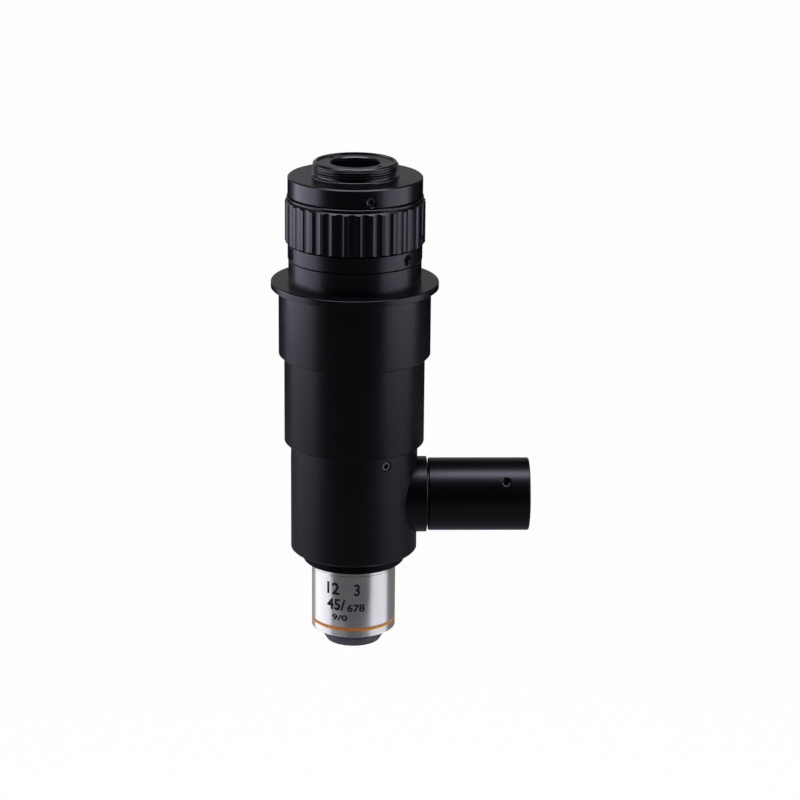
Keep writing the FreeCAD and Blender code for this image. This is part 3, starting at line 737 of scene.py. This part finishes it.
class TUBE_OT_objective(Operator):
    """Give the objective its satin chrome, colour band and printed numbers"""

    bl_idname = "tube.objective"
    bl_label = "Objective"

    def execute(self, context):
        finish = context.scene.tube_finish
        numbers = context.scene.tube_numbers
        chrome = turned_chrome("satin_chrome", finish.chrome_colour, finish.chrome_roughness,
                               mark_depth=0.000005, metal=0.86)
        give_finish(NODES["objective_mount"], chrome)
        give_finish(self.turn_barrel(), chrome)
        # The nose's chrome is darkened: painted shade for the dark floor that it mirrors.
        nose = turned_chrome("nose_chrome", finish.nose_colour_with_painted_shade, roughness=0.12,
                             mark_depth=0.0000008, metal=1.0)
        give_finish(NODES["objective_nose"], nose)
        give_finish(NODES["colour_band"], enamel("orange_enamel", finish.band_colour))
        radius = outer_radius("objective_barrel")
        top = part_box("objective_barrel")[1].z
        # Numbers, height and width in mm, azimuth of the left end, mm from the top to the foot of the row
        rows = [
            (numbers.upper_row, 3.9, 4.3, -39.5, 6.1),
            (numbers.upper_end, 3.9, 1.8, 0.0, 6.2),
            (numbers.middle_row, 3.75, 6.2, -39.5, 11.1),
            (numbers.middle_end, 2.5, 5.4, -9.3, 11.3),
            (numbers.lower_row, 1.95, 5.0, -31.5, 14.4),
        ]
        shape = bmesh.new()
        for text, height, width, azimuth, down in rows:
            foot = top - down * MM
            row = printed_row(text, height * MM, width * MM, azimuth, foot, radius, numbers.ink_thickness)
            join(shape, row)
        piece = new_piece("objective_numbers", shape, BODY_OF_NODE["objective_barrel"])
        give_finish(piece, ink("black_ink", finish.ink_colour))
        return {"FINISHED"}

    def turn_barrel(self):
        """Outer sleeve of the objective, whose groove for the colour band has a broken lower edge."""
        radius = outer_radius("objective_barrel")
        low, high = (corner.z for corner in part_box("objective_barrel"))
        band_low, band_high = (corner.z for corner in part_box("colour_band"))
        wall = 1.88 * MM
        groove_depth = 0.15 * MM
        rim = 0.05 * MM
        edge = 0.12 * MM
        bore = radius - wall
        groove = radius - groove_depth
        shape = bmesh.new()
        turn_outline(shape, [
            (bore, low), (radius - rim, low), (radius, low + rim), (radius, band_low - edge),
            (radius - edge, band_low), (groove, band_low), (groove, band_high), (radius, band_high),
            (radius, high - rim), (radius - rim, high), (bore, high),
        ], steps=160)
        piece = new_piece("objective_sleeve", shape, BODY_OF_NODE["objective_barrel"])
        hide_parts("objective_barrel")
        return piece


class TUBE_OT_glass(Operator):
    """Give the lenses and the splitter plate their coated glass"""

    bl_idname = "tube.glass"
    bl_label = "Lenses and splitter plate"

    def execute(self, context):
        lens_glass = coated_glass("coated_glass", tint=(0.95, 0.98, 0.97), coat_tint=(0.6, 0.8, 1.0))
        for node in nodes_in("coated_glass"):
            give_finish(NODES[node], lens_glass)
        plate_glass = coated_glass("splitter_glass", tint=(0.75, 0.74, 0.7), coat_tint=(1.0, 0.9, 0.75))
        give_finish(NODES["beam_splitter"], plate_glass)
        return {"FINISHED"}


class TUBE_OT_stage(Operator):
    """Set up the floor, the world, the lamps and the camera"""

    bl_idname = "tube.stage"
    bl_label = "Stage"

    def execute(self, context):
        studio = context.scene.tube_studio
        context.scene.view_settings.view_transform = "Standard"
        self.lay_floor(context, studio)
        self.light_world(context, studio)
        # Each side is lit at an azimuth by a box of some width and level. Its upper half is bright and its
        # lower half dim, each with its middle at a height.
        sides = (("left", -93, 0.54, studio.left_level), ("right", 73, 0.46, studio.right_level))
        halves = (("upper", -0.01, 0.2, 1), ("lower", -0.2, 0.18, studio.lower_share))
        for side, azimuth, width, level in sides:
            for half, middle, height, share in halves:
                self.hang_lamp(
                    context, f"{side}_{half}_box", target=Vector((0, 0, middle)), azimuth=azimuth,
                    elevation=0, distance=0.45, size=(width, height), level=level * share)
        centre = Vector((0, 0, (CAD_BOX[0][2] + CAD_BOX[1][2]) / 2))
        self.hang_lamp(
            context, "top_strip", target=centre, azimuth=0, elevation=83, distance=0.85,
            size=(1.1, 0.28), level=studio.top_level)
        self.set_camera(context, studio)
        return {"FINISHED"}

    def lay_floor(self, context, studio):
        """Floor, white for the camera. The part mirrors a dim floor, with a patch of painted light that
        glows round the object.
        """
        shape = bmesh.new()
        bmesh.ops.create_circle(shape, cap_ends=True, radius=studio.floor_radius, segments=96)
        height = CAD_BOX[0][2] - studio.floor_drop
        bmesh.ops.translate(shape, vec=(0, 0, height), verts=shape.verts)
        mesh = bpy.data.meshes.new("floor")
        shape.to_mesh(mesh)
        shape.free()
        floor = bpy.data.objects.new("floor", mesh)
        context.scene.collection.objects.link(floor)
        material = bpy.data.materials.new("floor")
        recipe = Recipe(material)
        path = recipe.node("ShaderNodeLightPath")
        shown = recipe.level(path, "Is Camera Ray") + recipe.level(path, "Is Transmission Ray")
        place = recipe.node("ShaderNodeTexCoord").outputs["Object"]
        # The patch round the object is painted light: a bluish glow that the part mirrors as lit floor, and
        # that also lights the part.
        painted_light_centre = (0, -0.4, 0)
        painted_light_colour = (0.95, 0.96, 1.15)
        distance = recipe.node("ShaderNodeVectorMath", {"operation": "DISTANCE"}, {
            0: place, 1: painted_light_centre})
        far = recipe.ramp(distance.outputs["Value"], 1.6, 2.5)
        dull = recipe.node("ShaderNodeBsdfDiffuse", None, {"Color": (*[studio.floor_bounce] * 3, 1)})
        patch = recipe.node("ShaderNodeEmission", None, {
            "Color": (*painted_light_colour, 1), "Strength": studio.floor_painted_light})
        # The part sees the dull floor far off, and the painted glow near the object.
        bounce = recipe.node("ShaderNodeMixShader", None, {
            0: 1 - far, 1: dull.outputs[0], 2: patch.outputs[0]})
        tone = recipe.node("ShaderNodeBsdfDiffuse", None, {"Color": (*[studio.floor_tone] * 3, 1)})
        glow = recipe.node("ShaderNodeEmission", None, {"Strength": studio.floor_glow})
        white = recipe.node("ShaderNodeAddShader", None, {0: tone.outputs[0], 1: glow.outputs[0]})
        surface = recipe.node("ShaderNodeMixShader", None, {
            0: shown, 1: bounce.outputs[0], 2: white.outputs[0]})
        recipe.node("ShaderNodeOutputMaterial", None, {"Surface": surface.outputs[0]})
        mesh.materials.append(material)

    def light_world(self, context, studio):
        """White for the camera. The part mirrors a dim room that brightens towards the sweep behind it."""
        world = bpy.data.worlds.new("studio")
        context.scene.world = world
        recipe = Recipe(world)
        path = recipe.node("ShaderNodeLightPath")
        direction = recipe.node("ShaderNodeTexCoord").outputs["Generated"]
        parts = recipe.node("ShaderNodeSeparateXYZ", None, {0: direction})
        shown = recipe.level(path, "Is Camera Ray")
        mirrored = recipe.level(path, "Is Glossy Ray") + recipe.level(path, "Is Transmission Ray")
        rightwards = recipe.ramp(parts.outputs[0], -0.5, 0.5)
        backwards = recipe.ramp(parts.outputs[1], 0.0, 0.6)
        upwards = recipe.ramp(parts.outputs[2], 0.3, 0.6)
        sweep = studio.sweep_light * backwards * (1 - upwards) * (1 - studio.sweep_fade * rightwards)
        strength = shown + (1 - shown) * (studio.room_light + sweep * mirrored)
        colour = recipe.mix(shown, studio.room_colour, (1, 1, 1))
        background = recipe.node("ShaderNodeBackground", None, {"Color": colour, "Strength": strength})
        recipe.node("ShaderNodeOutputWorld", None, {"Surface": background.outputs[0]})

    def hang_lamp(self, context, name, target, azimuth, elevation, distance, size, level):
        """Soft box that faces the target. Azimuth runs from the front towards the light port."""
        studio = context.scene.tube_studio
        lamp = bpy.data.lights.new(name, "AREA")
        lamp.shape = "RECTANGLE"
        lamp.size, lamp.size_y = size
        lamp.color = studio.lamp_colour
        lamp.energy = level * math.pi * size[0] * size[1]
        turn, rise = math.radians(azimuth), math.radians(elevation)
        outwards = Vector((
            math.sin(turn) * math.cos(rise), -math.cos(turn) * math.cos(rise), math.sin(rise)))
        holder = bpy.data.objects.new(name, lamp)
        holder.location = target + distance * outwards
        holder.rotation_euler = outwards.to_track_quat("Z", "Y").to_euler()
        holder.visible_camera = False
        context.scene.collection.objects.link(holder)

    def set_camera(self, context, studio):
        """Camera at the place from which the photograph was taken."""
        yaw, pitch, roll = studio.camera_yaw, studio.camera_pitch, studio.camera_roll
        ahead = Vector((math.sin(yaw) * math.cos(pitch), math.cos(yaw) * math.cos(pitch), -math.sin(pitch)))
        level_right = Vector((math.cos(yaw), -math.sin(yaw), 0))
        level_up = level_right.cross(ahead)
        right = math.cos(roll) * level_right + math.sin(roll) * level_up
        up = -math.sin(roll) * level_right + math.cos(roll) * level_up
        view = bpy.data.cameras.new("camera")
        view.sensor_fit = "HORIZONTAL"
        view.sensor_width = 36
        view.lens = studio.focal_pixels / studio.picture_pixels * view.sensor_width
        view.clip_end = 100
        camera = bpy.data.objects.new("camera", view)
        turn = Matrix((right, up, -ahead)).transposed().to_4x4()
        camera.matrix_world = Matrix.Translation(studio.camera_place) @ turn
        context.scene.collection.objects.link(camera)
        context.scene.camera = camera


class TUBE_PT_panel(Panel):
    """Panel with the steps that dress the camera tube"""

    bl_idname = "TUBE_PT_panel"
    bl_label = "Camera Tube"
    bl_space_type = "VIEW_3D"
    bl_region_type = "UI"
    bl_category = "Camera Tube"

    def draw(self, context):
        for step in STEPS:
            self.layout.operator(step.bl_idname)


SETTINGS = {
    "tube_studio": StudioSettings,
    "tube_finish": FinishSettings,
    "tube_thread": ThreadSettings,
    "tube_numbers": NumberSettings,
}
STEPS = (TUBE_OT_black_parts, TUBE_OT_camera_thread, TUBE_OT_screws, TUBE_OT_objective, TUBE_OT_glass,
         TUBE_OT_stage)
CLASSES = (*SETTINGS.values(), *STEPS, TUBE_PT_panel)


def register():
    for made in CLASSES:
        bpy.utils.register_class(made)
    for name, group in SETTINGS.items():
        setattr(bpy.types.Scene, name, PointerProperty(type=group))


def unregister():
    for name in SETTINGS:
        delattr(bpy.types.Scene, name)
    for made in reversed(CLASSES):
        bpy.utils.unregister_class(made)


def main():
    """Dress the part step by step."""
    register()
    bpy.ops.tube.black_parts()
    bpy.ops.tube.camera_thread()
    bpy.ops.tube.screws()
    bpy.ops.tube.objective()
    bpy.ops.tube.glass()
    bpy.ops.tube.stage()


if __name__ == "__main__":
    main()
